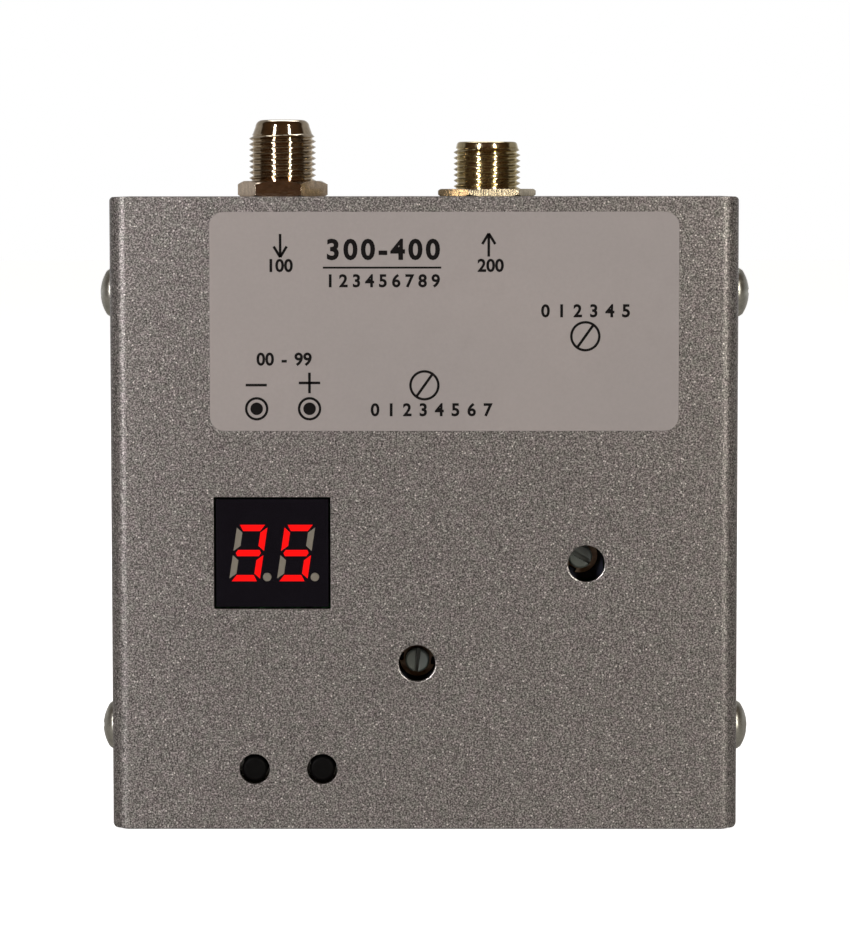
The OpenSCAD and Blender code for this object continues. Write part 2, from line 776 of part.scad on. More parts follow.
module rf_in_shell() shell(in_x, in_rise, in_nut_t, in_nose_d, in_nose_h, in_nose_r, in_nose_flare);
module rf_in_nut() connector_nut(in_x, in_nut_w, in_nut_t, in_turn, in_nut_crown);
module rf_in_washer() lock_washer(in_x);
module rf_in_insulator() insulator(in_x, in_rise);
module rf_in_contact() contact(in_x, in_rise);
module rf_out_shell() shell(out_x, out_rise, out_nut_t, out_nose_d, out_nose_h, out_nose_r,
    out_nose_flare);
module rf_out_nut() connector_nut(out_x, out_nut_w, out_nut_t, out_turn, nut_bevel);
module rf_out_washer() lock_washer(out_x);
module rf_out_insulator() insulator(out_x, out_rise);
module rf_out_contact() contact(out_x, out_rise);

module can_outline(grow) translate([can_x - can_w / 2 - grow, can_low_z - grow])
    square([can_w + 2 * grow, can_h + 2 * grow]);

module modulator_can() color("#b4b7b8") difference() {
    slab(board_back_y, can_d) difference() {
        can_outline(0);
        can_outline(-can_t);
    }
    for (x = [in_x, out_x]) translate([x, connector_y, can_high_z - can_t - overrun])
        cylinder(d = tail_hole_d, h = can_t + 2 * overrun);
}

module modulator_can_lid() color("#b4b7b8") difference() {
    slab(board_back_y + can_d - can_rim, can_rim + can_lid_t) can_outline(snug + can_lid_t);
    slab(board_back_y + can_d - can_rim - overrun, can_rim + overrun) can_outline(snug);
}

// Body of a chip, with sides that slope to the mould's parting line
module chip_body(place) translate([place[0], 0, 0]) difference() {
    middle_y = board_back_y + chip_lift + chip_h / 2;
    cheek(-chip_l / 2, chip_l) polygon([
        [board_back_y + chip_lift, place[1] - chip_w / 2 + chip_draft], [middle_y, place[1] - chip_w / 2],
        [middle_y + chip_h / 2, place[1] - chip_w / 2 + chip_draft],
        [middle_y + chip_h / 2, place[1] + chip_w / 2 - chip_draft], [middle_y, place[1] + chip_w / 2],
        [board_back_y + chip_lift, place[1] + chip_w / 2 - chip_draft]]);
    peg([chip_dimple_inset - chip_l / 2, place[1] + chip_w / 2 - chip_dimple_inset],
        middle_y + chip_h / 2 - chip_dimple_depth, overrun, chip_dimple_d);
}

// Legs of a chip, bent out from its side and down to the board
module chip_wings(place) for (s = [0, 1], i = [0 : chip_pins - 1]) {
    high = chip_lift + chip_h / 2;
    translate([place[0] + (i - (chip_pins - 1) / 2) * chip_pitch - wing_w / 2, board_back_y, place[1]])
        mirror([0, 0, s]) translate([0, 0, chip_w / 2]) cheek(0, wing_w) polygon([
            [high, 0], [high, wing_out - wing_foot], [0, wing_out - wing_foot], [0, wing_out],
            [wing_t, wing_out], [wing_t, wing_out - wing_foot + wing_t],
            [high + wing_t, wing_out - wing_foot + wing_t], [high + wing_t, 0]]);
}

module modulator_chip() color("#1e1e20") chip_body(modulator_chip_place);
module microcontroller() color("#1e1e20") chip_body(micro_place);
module chip_legs() color("#c3c4c4") {
    chip_wings(modulator_chip_place);
    chip_wings(micro_place);
}

module tuning_coils() color("#b4b7b8") for (share = coil_place_shares) {
    place = in_can(share);
    difference() {
        slab(board_back_y, coil_h) translate(place) square(coil_w, center = true);
        slab(board_back_y - overrun, coil_h - coil_wall + overrun)
            translate(place) square(coil_w - 2 * coil_wall, center = true);
        peg(place, board_back_y, coil_h + overrun, core_d);
    }
}

module coil_cores() color("#3a3230") for (share = coil_place_shares) backing(in_can(share), board_back_y)
    difference() {
        cylinder(d = core_d - 2 * slip, h = core_h);
        translate([-core_d, -slot_w / 2, core_h - slot_d]) cube([2 * core_d, slot_w, slot_d + overrun]);
    }

module saw_filter() color("#c0c0bc") slab(board_back_y, saw_d) translate(in_can(saw_place_shares))
    rounded(saw_w, saw_h, saw_h / 4);

module crystal() color("#c0c0bc") {
    place = on_board(crystal_place_shares);
    slab(board_back_y, crystal_h) translate(place) rounded(crystal_l, crystal_w, crystal_w / 2 - crystal_rim);
    slab(board_back_y, crystal_rim_t) translate(place)
        rounded(crystal_l + 2 * crystal_rim, crystal_w + 2 * crystal_rim, crystal_w / 2);
}

sink_place = on_board(sink_place_shares);
sink_top_z = sink_place[1] + sink_l / 2;
regulator_y = board_back_y + sink_t;
regulator_hole = [sink_place[0], sink_top_z - regulator_tab_l / 2];
regulator_low_z = sink_top_z - regulator_tab_l - regulator_l;
regulator_leg_out = sink_l - regulator_tab_l - regulator_l + regulator_leg_gap + regulator_leg_t;

// Channel open towards the back wall, its two sides slit into fins
module heat_sink() color("#2a2a2c") difference() {
    translate([sink_place[0] - sink_w / 2, board_back_y, sink_place[1] - sink_l / 2]) linear_extrude(sink_l) {
        square([sink_w, sink_t]);
        for (x = [0, sink_w - sink_t]) translate([x, 0]) square([sink_t, sink_h]);
    }
    for (i = [1 : sink_fins - 1])
        translate([sink_place[0] - sink_w / 2 - overrun, board_back_y + sink_slit_y,
            sink_place[1] - sink_l / 2 + i * sink_l / sink_fins - sink_slit_w / 2])
                cube([sink_w + 2 * overrun, sink_h, sink_slit_w]);
    peg(regulator_hole, board_back_y - overrun, sink_t + 2 * overrun, board_screw_d + 2 * snug);
}

module voltage_regulator() color("#1e1e20") {
    difference() {
        translate([sink_place[0] - regulator_w / 2, regulator_y, regulator_low_z])
            cube([regulator_w, regulator_tab_t, regulator_l + regulator_tab_l]);
        peg(regulator_hole, regulator_y - overrun, regulator_tab_t + 2 * overrun, regulator_hole_d);
    }
    translate([sink_place[0] - regulator_w / 2, regulator_y, regulator_low_z])
        cube([regulator_w, regulator_h, regulator_l]);
    for (i = [-1 : 1]) translate([sink_place[0] + i * regulator_leg_pitch, 0, regulator_low_z])
        cheek(-regulator_leg_w / 2, regulator_leg_w) polygon([
            [regulator_y + regulator_h / 2, 0], [regulator_y + regulator_h / 2, -regulator_leg_out],
            [board_back_y, -regulator_leg_out], [board_back_y, regulator_leg_t - regulator_leg_out],
            [regulator_y + regulator_h / 2 - regulator_leg_t, regulator_leg_t - regulator_leg_out],
            [regulator_y + regulator_h / 2 - regulator_leg_t, 0]]);
}

module regulator_screw() color("#b9b7b0") backing(regulator_hole, regulator_y + regulator_tab_t)
    pan_screw(board_screw_d, regulator_tab_t + sink_t, board_head_d, board_head_h, board_head_side);

// Upright round cans with a crimped groove near the board and a round top edge
module capacitors() color("#26324a") for (i = [0 : 2])
    backing(on_board(capacitor_place_shares[i]), board_back_y) {
    r = capacitor_ds[i] / 2;
    h = capacitor_hs[i];
    rotate_extrude() difference() {
        union() {
            square([r, h - capacitor_round]);
            square([r - capacitor_round, h]);
            translate([r - capacitor_round, h - capacitor_round]) circle(capacitor_round);
        }
        translate([r, capacitor_crimp_at]) circle(capacitor_crimp);
    }
}

// Barrel jack: a square foot on the board with a round back over the plug's hole
module power_jack_body() color("#1c1c1e") difference() {
    union() {
        translate([power_x - power_w / 2, board_back_y, floor_z]) cube([power_w, power_rise, power_l]);
        translate([power_x, power_y, floor_z]) cylinder(d = power_w, h = power_l);
        translate([power_x, power_y, jack_sink]) cylinder(d = power_collar_d, h = floor_z);
    }
    translate([power_x, power_y, jack_sink - overrun]) cylinder(d = power_bore_d, h = power_bore_l + overrun);
}

module power_jack_pin() color("#c3c4c4") translate([power_x, power_y, 0]) rotate_extrude() {
    low_z = jack_sink + power_pin_recess;
    translate([0, low_z + power_pin_d / 2])
        square([power_pin_d / 2, power_bore_l + jack_sink - low_z - power_pin_d / 2]);
    translate([0, low_z + power_pin_d / 2]) intersection() {
        circle(power_pin_d / 2);
        translate([0, -power_pin_d / 2]) square([power_pin_d / 2, power_pin_d]);
    }
}

module av_jack_body() color("#1c1c1e") difference() {
    union() {
        translate([av_x, 0, floor_z]) linear_extrude(av_l) polygon([
            [-av_w / 2, board_back_y], [av_w / 2, board_back_y], [av_w / 2, board_back_y + av_h - av_bevel],
            [av_w / 2 - av_bevel, board_back_y + av_h], [av_bevel - av_w / 2, board_back_y + av_h],
            [-av_w / 2, board_back_y + av_h - av_bevel]]);
        translate([av_x, av_y, jack_sink]) cylinder(d = av_collar_d, h = floor_z);
    }
    translate([av_x, av_y, jack_sink - overrun]) cylinder(d = av_bore_d, h = av_bore_l + overrun);
}

module av_jack_contacts() color("#c9a04a") for (share = contact_place_shares, s = [-1, 1])
    translate([av_x + s * (av_w + contact_t) / 2, board_back_y + contact_h / 2, floor_z + share * av_l])
        cube([contact_t, contact_h, contact_w], center = true);

cover();
chassis();
case_screws();
label_film();
display_body();
lit_segments();
unlit_segments();
display_pins();
display_sockets();
main_board();
board_standoffs();
board_screws();
switch_housings();
switch_plates();
switch_domes();
switch_legs();
channel_down_button();
channel_up_button();
audio_trimmer_base();
audio_trimmer_track();
audio_trimmer_wiper();
audio_trimmer_rotor();
rf_trimmer_base();
rf_trimmer_track();
rf_trimmer_wiper();
rf_trimmer_rotor();
rf_in_shell();
rf_in_nut();
rf_in_washer();
rf_in_insulator();
rf_in_contact();
rf_out_shell();
rf_out_nut();
rf_out_washer();
rf_out_insulator();
rf_out_contact();
modulator_can();
modulator_can_lid();
modulator_chip();
tuning_coils();
coil_cores();
saw_filter();
microcontroller();
chip_legs();
crystal();
voltage_regulator();
heat_sink();
regulator_screw();
capacitors();
power_jack_body();
power_jack_pin();
av_jack_body();
av_jack_contacts();
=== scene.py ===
# RF modulator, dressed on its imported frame. Lengths are in metres, +Z up, the front panel faces -Y.
import json
import math

import bpy
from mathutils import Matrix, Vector

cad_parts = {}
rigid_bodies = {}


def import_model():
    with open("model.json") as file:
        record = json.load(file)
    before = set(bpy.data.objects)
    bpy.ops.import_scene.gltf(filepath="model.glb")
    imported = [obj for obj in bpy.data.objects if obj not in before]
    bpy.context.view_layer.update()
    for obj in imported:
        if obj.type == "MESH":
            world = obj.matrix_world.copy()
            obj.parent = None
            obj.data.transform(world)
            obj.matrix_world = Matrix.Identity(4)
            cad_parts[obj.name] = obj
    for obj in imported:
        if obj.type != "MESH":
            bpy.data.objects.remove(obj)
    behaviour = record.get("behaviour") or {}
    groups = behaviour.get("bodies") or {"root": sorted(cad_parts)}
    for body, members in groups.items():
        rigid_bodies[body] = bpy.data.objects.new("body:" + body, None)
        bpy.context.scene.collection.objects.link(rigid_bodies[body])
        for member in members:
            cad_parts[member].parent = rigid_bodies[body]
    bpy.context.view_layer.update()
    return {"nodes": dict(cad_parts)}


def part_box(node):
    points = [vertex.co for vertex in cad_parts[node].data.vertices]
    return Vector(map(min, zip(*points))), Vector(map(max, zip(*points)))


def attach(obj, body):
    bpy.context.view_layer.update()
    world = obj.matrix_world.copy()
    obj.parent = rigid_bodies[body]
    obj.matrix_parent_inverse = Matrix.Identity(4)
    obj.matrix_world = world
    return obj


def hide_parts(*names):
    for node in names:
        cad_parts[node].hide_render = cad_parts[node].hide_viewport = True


for left_over in list(bpy.data.objects):
    bpy.data.objects.remove(left_over)
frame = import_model()

# Points nearer than this are one point
WELD = 0.000001
FINE_WELD = 0.0000001
THREAD_WELD = 0.0000005

# Outside thread of the coaxial sockets, 3/8-32
PITCH = 0.000794
CREST_R = 0.004725
ROOT_R = 0.00418
UNDER_THREAD_R = ROOT_R + 0.00004
CLEAR_R = 0.0052
SLEEVE_R = 0.00392

# The rest of a coaxial socket, from the solder tail up
TAIL_R = 0.0014
BORE_R = 0.00277
BORE_FLOOR = 0.001
BARREL_R = 0.0044
SHOULDER_R = 0.00625
SHOULDER_LOW, SHOULDER_HIGH = 0.0851, 0.0867
NECK_R = 0.00445

# The trimmers' access holes in the front wall, and the paint rolled over their edge: its radius, where its
# centre lies (out from the hole, in from the wall's face), and how deep its foot is sunk
TRIMMER_HOLES = ((-0.001, 0.02345), (0.02251, 0.03736))
TRIMMER_HOLE_R = 0.002555
RIM_ROLL_R = 0.000609
RIM_ROLL_OUT, RIM_ROLL_IN = 0.0002966, 0.0005407
RIM_SUNK = 0.00004

# Case screws, with z = 0 under the head
HEAD_R, HEAD_HIGH = 0.0035, 0.0024
HEAD_FLANK = [(0.00335, 0), (HEAD_R, 0.00015), (HEAD_R, 0.00078), (0.00340, 0.00105)]
DOME_R, DOME_HALF_ANGLE = 0.005733, 32.9
RECESS_ARM, RECESS_HALF_WIDE, RECESS_FLOOR = 0.0017, 0.00035, 0.0007
SHANK_R, SHANK_ROOT_R, SHANK_PITCH, SHANK_END = 0.00175, 0.0013, 0.00105, -0.0055
TIP = [(0.0006, -0.0059), (0.0013, -0.0052)]

# Printing on the label: the middle and half the thickness of the ink, and the width of its lines
LABEL_FRONT = -0.01514
INK_HIGH = 0.00001
STROKE, RING_STROKE, RULE_STROKE = 0.00036, 0.00034, 0.00026
BUTTON_MARKS_Z, BUTTON_RING_R, BUTTON_DOT_R = 0.05894, 0.00162, 0.00087
SLASHED_RING_R, SLASH_X, SLASH_Z = 0.0021, 0.00105, 0.00147
ARROW_HALF, BARB_X, BARB_Z = 0.0016, 0.0009, 0.00148
FIGURE_SHARE = 0.7  # of the type size, the height of a figure
SMALL_TYPE = {"high": 0.0017, "weight": 0.00007}
WIDE_TYPE = {"high": 0.0017, "weight": 0.00007, "spread": 1.5}
LARGE_TYPE = {"high": 0.0027, "weight": 0.00013, "spread": 1.25}

# What bare metal sees around it, from the dim room in front (-1) to the white sweep behind (1), and how far
# straight up and straight down count towards the front
ROOM = ((-0.9, (0.075, 0.038, 0.017)), (-0.25, (0.040, 0.026, 0.015)), (-0.12, (0.33, 0.305, 0.28)),
        (0.6, (0.42, 0.40, 0.38)), (0.97, (1, 1, 1)))
CEILING_PULL = 0.85

# Lamps: degrees to the right and up, distance, width, height, watts and colour
LAMPS = {
    "left_strip": (-32.5, 19, 1.1, 0.08, 0.75, 8.8, (1.0, 0.97, 0.97)),
    "right_strip": (31, 19, 1.1, 0.08, 0.75, 6.6, (1.0, 0.955, 0.87)),
    "top_wash": (180, 60, 1.2, 0.8, 0.5, 4.0, (1, 1, 1)),
}
LAMPS_AIM = Vector((0, 0, 0.045))

# The camera that took the photograph: place, turn in degrees, and focal length in pixels of its height
CAMERA_AT = (0.0034, -0.5468, 0.0900)
CAMERA_TURN = (90 - 4.33, 0.046, 0.349)
FOCAL_PX = 3848.6
PICTURE_HEIGHT_PX = 950
SENSOR_MM = 36


# Modelling by hand

def pick(*objects):
    if bpy.context.object and bpy.context.object.mode != "OBJECT":
        bpy.ops.object.mode_set(mode="OBJECT")
    bpy.ops.object.select_all(action="DESELECT")
    for o in objects:
        o.select_set(True)
    bpy.context.view_layer.objects.active = objects[-1]


def named(name):
    o = bpy.context.object
    o.name = o.data.name = name
    return o


def settle(o):
    """The piece's place goes into its mesh."""
    pick(o)
    bpy.ops.object.transform_apply(location=True, rotation=True, scale=True)
    return o


def place(o, at=(0, 0, 0), turn=(0, 0, 0)):
    o.rotation_euler = [math.radians(a) for a in turn]
    o.location = at
    return settle(o)


def modify(o, kind, **settings):
    pick(o)
    m = o.modifiers.new(kind.lower(), kind)
    for k, v in settings.items():
        setattr(m, k, v)
    bpy.ops.object.modifier_apply(modifier=m.name)
    return o


def outward(o, weld=WELD):
    pick(o)
    bpy.ops.object.mode_set(mode="EDIT")
    bpy.ops.mesh.select_all(action="SELECT")
    bpy.ops.mesh.remove_doubles(threshold=weld)
    bpy.ops.mesh.normals_make_consistent(inside=False)
    bpy.ops.object.mode_set(mode="OBJECT")
    return o


def cut(o, tool, operation="DIFFERENCE"):
    modify(o, "BOOLEAN", object=tool, operation=operation, solver="EXACT")
    bpy.data.objects.remove(tool)


def joined(name, parts):
    pick(*parts)
    if len(parts) > 1:
        bpy.ops.object.join()
    return named(name)


def twin(o, name):
    pick(o)
    bpy.ops.object.duplicate(linked=False)
    return named(name)


def rounded_edges(o, width, angle=32):
    """Breaks the sharp edges and keeps the flats flat."""
    pick(o)
    bpy.ops.object.shade_smooth()
    return modify(o, "BEVEL", width=width, segments=2, limit_method="ANGLE",
                  angle_limit=math.radians(angle), harden_normals=True)


def smooth_by(o, angle=35):
    pick(o)
    bpy.ops.object.shade_smooth_by_angle(angle=math.radians(angle))
    return o


def spun(name, profile, sides, fill):
    """Draws the first ring of a (radius, height) profile along Z, in and out, from point to point."""
    r, z = profile[0]
    bpy.ops.object.select_all(action="DESELECT")
    bpy.ops.mesh.primitive_circle_add(vertices=sides, radius=r, fill_type=fill, location=(0, 0, z))
    o = settle(named(name))
    bpy.ops.object.mode_set(mode="EDIT")
    bpy.ops.mesh.select_all(action="SELECT")
    for r1, z1 in profile[1:]:
        bpy.ops.mesh.extrude_region_move(TRANSFORM_OT_translate={"value": (0, 0, z1 - z)})
        bpy.ops.transform.resize(value=(r1 / r, r1 / r, 1), center_override=(0, 0, z1))
        r, z = r1, z1
    return outward(o)


def lathe(name, profile, sides=72):
    """A solid with a bore: the profile closes on its own first point."""
    return spun(name, [*profile, profile[0]], sides, "NOTHING")


def turned(name, profile, sides=72):
    """A solid that reaches the axis: both ends are filled."""
    return spun(name, profile, sides, "NGON")


def block(name, low, high):
    size = [b - a for a, b in zip(low, high)]
    middle = [(a + b) / 2 for a, b in zip(low, high)]
    bpy.ops.object.select_all(action="DESELECT")
    bpy.ops.mesh.primitive_cube_add(size=1, location=middle, scale=size)
    return settle(named(name))


def cad_copy(node, name):
    """A merged copy of a CAD node, with its flats made whole again."""
    o = bpy.data.objects.new(name, frame["nodes"][node].data.copy())
    bpy.context.scene.collection.objects.link(o)
    o.data.name = name
    o.data.materials.clear()
    pick(o)
    bpy.ops.object.mode_set(mode="EDIT")
    bpy.ops.mesh.select_all(action="SELECT")
    bpy.ops.mesh.customdata_custom_splitnormals_clear()
    bpy.ops.mesh.remove_doubles(threshold=0.000002)
    bpy.ops.mesh.dissolve_limited(angle_limit=math.radians(0.4))
    bpy.ops.object.mode_set(mode="OBJECT")
    return o


def dress(o, material, body="case", stands_for=()):
    """The piece gets its material and its body, and the CAD nodes it stands for are hidden."""
    o.data.materials.clear()
    o.data.materials.append(material)
    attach(o, body)
    if stands_for:
        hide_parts(*stands_for)


# Materials

class Finish:
    """A node material on Object coordinates."""

    def __init__(self, name, colour, rough, metal=0.0, **sockets):
        self.mat = bpy.data.materials.new(name)
        self.mat.use_nodes = True
        self.mat.diffuse_color = (*colour, 1)
        self.tree = self.mat.node_tree
        self.shader = self.tree.nodes["Principled BSDF"]
        self.set("Base Color", (*colour, 1))
        self.set("Roughness", rough)
        self.set("Metallic", metal)
        for k, v in sockets.items():
            self.set(k.replace("_", " "), v)
        self.coords = self.tree.nodes.new("ShaderNodeTexCoord").outputs["Object"]
        self.bumps = None

    def set(self, socket, value):
        self.shader.inputs[socket].default_value = value

    def node(self, kind, **inputs):
        n = self.tree.nodes.new(kind)
        for k, v in inputs.items():
            if isinstance(v, bpy.types.NodeSocket):
                self.tree.links.new(v, n.inputs[k])
            else:
                n.inputs[k].default_value = v
        return n

    def stretched(self, scale):
        return self.node("ShaderNodeMapping", Vector=self.coords, Scale=scale).outputs["Vector"]

    def noise(self, size, detail=2.0, rough=0.5, vector=None):
        n = self.node("ShaderNodeTexNoise", Vector=vector or self.coords, Scale=1 / size, Detail=detail,
                      Roughness=rough)
        return n.outputs["Fac"]

    def cells(self, size, vector=None):
        return self.node("ShaderNodeTexVoronoi", Vector=vector or self.coords, Scale=1 / size)

    def ramp(self, value, *stops):
        n = self.node("ShaderNodeValToRGB", Fac=value)
        e = n.color_ramp.elements
        while len(e) < len(stops):
            e.new(0.5)
        for item, (at, colour) in zip(e, stops):
            item.position = at
            item.color = (*colour, 1) if isinstance(colour, tuple) else (colour, colour, colour, 1)
        return n.outputs["Color"]

    def blend(self, share, a, b, how="MIX"):
        n = self.tree.nodes.new("ShaderNodeMix")
        n.data_type = "RGBA"
        n.blend_type = how
        for key, v in (("Factor_Float", share), ("A_Color", a), ("B_Color", b)):
            s = next(i for i in n.inputs if i.identifier == key)
            if isinstance(v, bpy.types.NodeSocket):
                self.tree.links.new(v, s)
            else:
                s.default_value = (*v, 1) if isinstance(v, tuple) else v
        return next(i for i in n.outputs if i.identifier == "Result_Color")

    def into(self, socket, value):
        self.tree.links.new(value, self.shader.inputs[socket])

    def bump(self, height, depth, strength=1.0):
        n = self.node("ShaderNodeBump", Height=height, Distance=depth, Strength=strength)
        if self.bumps:
            self.tree.links.new(self.bumps, n.inputs["Normal"])
        self.bumps = n.outputs["Normal"]
        self.tree.links.new(self.bumps, self.shader.inputs["Normal"])


def powder_coat(name, **gloss):
    f = Finish(name, (0.19, 0.174, 0.166), 0.42, metal=0.8, **gloss)
    grain = f.ramp(f.noise(0.00022, 2, 0.55), (0.28, (0.025, 0.023, 0.022)), (0.5, (0.185, 0.1725, 0.1675)),
                   (0.74, (0.56, 0.534, 0.516)))
    tint = f.blend(f.noise(0.0011, 1), (0.92, 1.0, 0.93), (1.07, 0.98, 1.04))
    body = f.blend(1.0, grain, tint, "MULTIPLY")
    flakes = f.cells(0.00030)
    bright = f.ramp(flakes.outputs["Distance"], (0.26, 1.0), (0.44, 0.0))
    chosen = f.ramp(flakes.outputs["Color"], (0.85, 0.0), (0.91, 1.0))
    spark = f.blend(1.0, bright, chosen, "MULTIPLY")
    f.into("Base Color", f.blend(spark, body, (0.76, 0.73, 0.70)))
    f.bump(f.noise(0.00030, 2, 0.6), 0.00003, 0.55)
    f.bump(f.noise(0.0016, 1), 0.00006, 0.25)
    return f.mat


def label_stock():
    f = Finish("label_film", (0.245, 0.219, 0.209), 0.5)
    fine = f.blend(f.noise(0.00045, 3, 0.6), (0.212, 0.192, 0.185), (0.236, 0.214, 0.206))
    clouds = f.blend(f.noise(0.022, 1), (0.91, 0.92, 0.94), (1.06, 1.05, 1.05))
    f.into("Base Color", f.blend(1.0, fine, clouds, "MULTIPLY"))
    f.into("Roughness", f.ramp(f.noise(0.002, 2), (0.3, 0.44), (0.7, 0.56)))
    f.bump(f.noise(0.0004, 2), 0.000006, 0.4)
    return f.mat


def ink():
    f = Finish("label_ink", (0.003, 0.002, 0.002), 0.5, Specular_IOR_Level=0.1)
    f.into("Base Color", f.blend(f.noise(0.0003, 2), (0.002, 0.0015, 0.0015), (0.004, 0.003, 0.003)))
    return f.mat


def nickel(name, colour, rough, streak, dent=0.000002):
    f = Finish(name, colour, rough, metal=1.0)
    dull = tuple(c * 0.72 for c in colour)
    f.into("Base Color", f.blend(f.ramp(f.noise(0.0011, 3, 0.65), (0.38, 0.0), (0.66, 1.0)), colour, dull))
    marks = f.noise(0.00016, 3, 0.6, f.stretched(streak))
    f.into("Roughness", f.ramp(marks, (0.3, rough * 0.7), (0.7, rough * 1.5)))
    f.bump(marks, dent, 0.3)
    return f.mat


def moulded(name, low, high, rough=0.5, grain=0.0004, **sockets):
    f = Finish(name, high, rough, **sockets)
    f.into("Base Color", f.blend(f.noise(0.0014, 3, 0.6), low, high))
    f.into("Roughness", f.ramp(f.noise(0.0009, 2), (0.3, rough * 0.85), (0.7, min(1, rough * 1.2))))
    f.bump(f.noise(grain, 2, 0.6), 0.00001, 0.35)
    return f.mat


def display_face():
    f = Finish("display_face", (0.004, 0.0036, 0.006), 0.16, Specular_IOR_Level=0.25)
    f.into("Base Color", f.blend(f.noise(0.0025, 2), (0.0032, 0.0028, 0.0046), (0.005, 0.0044, 0.007)))
    f.bump(f.noise(0.003, 1), 0.00002, 0.2)
    return f.mat


def glowing_bars():
    f = Finish("lit_bars", (0.2, 0.0, 0.0), 0.5, Emission_Strength=0.92, Specular_IOR_Level=0.1)
    glow = f.ramp(f.noise(0.0012, 2), (0.3, (0.93, 0.0, 0.0)), (0.7, (1.0, 0.0, 0.0)))
    f.into("Emission Color", glow)
    f.into("Base Color", f.blend(f.noise(0.0012, 2), (0.15, 0.0, 0.0), (0.22, 0.0, 0.0)))
    return f.mat


def milky_bars():
    f = Finish("unlit_bars", (0.13, 0.118, 0.092), 0.42)
    f.into("Base Color", f.blend(f.noise(0.0006, 3), (0.118, 0.106, 0.082), (0.15, 0.136, 0.11)))
    return f.mat


def board_laminate():
    f = Finish("board_mask", (0.03, 0.16, 0.05), 0.32, Coat_Weight=0.3)
    v = f.stretched((1, 0.2, 1))
    tracks = f.cells(0.004, v)
    tracks.feature = "DISTANCE_TO_EDGE"
    lane = f.ramp(tracks.outputs["Distance"], (0.05, 1.0), (0.09, 0.0))
    f.into("Base Color", f.blend(lane, (0.018, 0.115, 0.034), (0.045, 0.2, 0.06)))
    f.bump(lane, 0.00003, 0.6)
    return f.mat


paint = powder_coat("case_powder_coat")
rim_paint = powder_coat("rim_paint", Coat_Weight=1.0, Coat_Roughness=0.13, Coat_IOR=1.7)
film = label_stock()
black_ink = ink()
screw_zinc = nickel("screw_zinc", (0.50, 0.495, 0.44), 0.34, (1, 1, 1))
connector_nickel = nickel("connector_nickel", (0.74, 0.64, 0.50), 0.06, (1, 1, 0.2), 0.0000004)
warm_nickel = nickel("warm_nickel", (0.76, 0.66, 0.42), 0.11, (1, 1, 0.2), 0.0000006)
nut_nickel = nickel("nut_nickel", (0.74, 0.60, 0.46), 0.10, (0.25, 0.25, 1), 0.0000004)
knurled_nickel = nickel("knurled_nickel", (0.55, 0.47, 0.33), 0.22, (1, 1, 0.05), 0.00006)
tinned = nickel("tinned_metal", (0.62, 0.63, 0.62), 0.3, (1, 1, 1))
tinplate = nickel("can_tinplate", (0.58, 0.60, 0.60), 0.3, (0.1, 1, 1))
standoff_brass = nickel("standoff_brass", (0.70, 0.52, 0.22), 0.28, (1, 0.2, 1))
wiper_brass = nickel("wiper_brass", (0.50, 0.39, 0.30), 0.42, (1, 1, 1))
contact_gold = nickel("contact_gold", (0.83, 0.62, 0.25), 0.24, (1, 1, 0.3))
sink_black = nickel("sink_anodised", (0.035, 0.035, 0.038), 0.42, (1, 1, 0.1))
black_plastic = moulded("black_plastic", (0.014, 0.014, 0.015), (0.024, 0.024, 0.026), 0.45)
button_black = moulded("button_black", (0.0016, 0.0015, 0.0015), (0.003, 0.0028, 0.0028), 0.42, 0.0002,
                       Specular_IOR_Level=0.06)
# Trimmer rotors: their own grey-green tone, darkened as painted shade of the front-wall holes they sit deep
# behind.
rotor_ivory = moulded("rotor_ivory", (0.115, 0.13, 0.12), (0.15, 0.168, 0.152), 0.34)
trimmer_blue = moulded("trimmer_blue", (0.010, 0.013, 0.032), (0.014, 0.018, 0.045), 0.5)
carbon = moulded("track_carbon", (0.010, 0.010, 0.010), (0.016, 0.016, 0.016), 0.7)
insulator_white = moulded("insulator_white", (0.74, 0.72, 0.64), (0.84, 0.82, 0.75), 0.4)
ferrite = moulded("ferrite", (0.030, 0.024, 0.022), (0.046, 0.038, 0.034), 0.65)
capacitor_blue = moulded("capacitor_sleeve", (0.018, 0.034, 0.082), (0.024, 0.045, 0.10), 0.25, 0.0012)
display_black = display_face()
lit = glowing_bars()
unlit = milky_bars()
board = board_laminate()

finish_of = {
    "lit_segments": lit, "unlit_segments": unlit, "display_pins": tinned, "display_sockets": black_plastic,
    "main_board": board, "board_standoffs": standoff_brass, "board_screws": tinned,
    "switch_housings": black_plastic, "switch_plates": tinned, "switch_domes": tinned, "switch_legs": tinned,
    "audio_trimmer_base": trimmer_blue, "audio_trimmer_track": carbon, "rf_trimmer_base": trimmer_blue,
    "rf_trimmer_track": carbon, "rf_in_washer": tinned, "rf_out_washer": tinned,
    "rf_in_insulator": insulator_white, "rf_out_insulator": insulator_white, "rf_in_contact": contact_gold,
    "rf_out_contact": contact_gold, "modulator_can": tinplate, "modulator_can_lid": tinplate,
    "modulator_chip": black_plastic, "tuning_coils": tinplate, "coil_cores": ferrite, "saw_filter": tinned,
    "microcontroller": black_plastic, "chip_legs": tinned, "crystal": tinned,
    "voltage_regulator": black_plastic, "heat_sink": sink_black, "regulator_screw": tinned,
    "capacitors": capacitor_blue, "power_jack_body": black_plastic, "power_jack_pin": tinned,
    "av_jack_body": black_plastic, "av_jack_contacts": contact_gold,
}
for node, material in finish_of.items():
    o = frame["nodes"][node]
    o.data.materials.clear()
    o.data.materials.append(material)


# Case

def eased(node, name, width, material, body="case", angle=32):
    """The CAD node's own shape, its sharp edges broken by width."""
    dress(rounded_edges(cad_copy(node, name), width, angle), material, body, (node,))


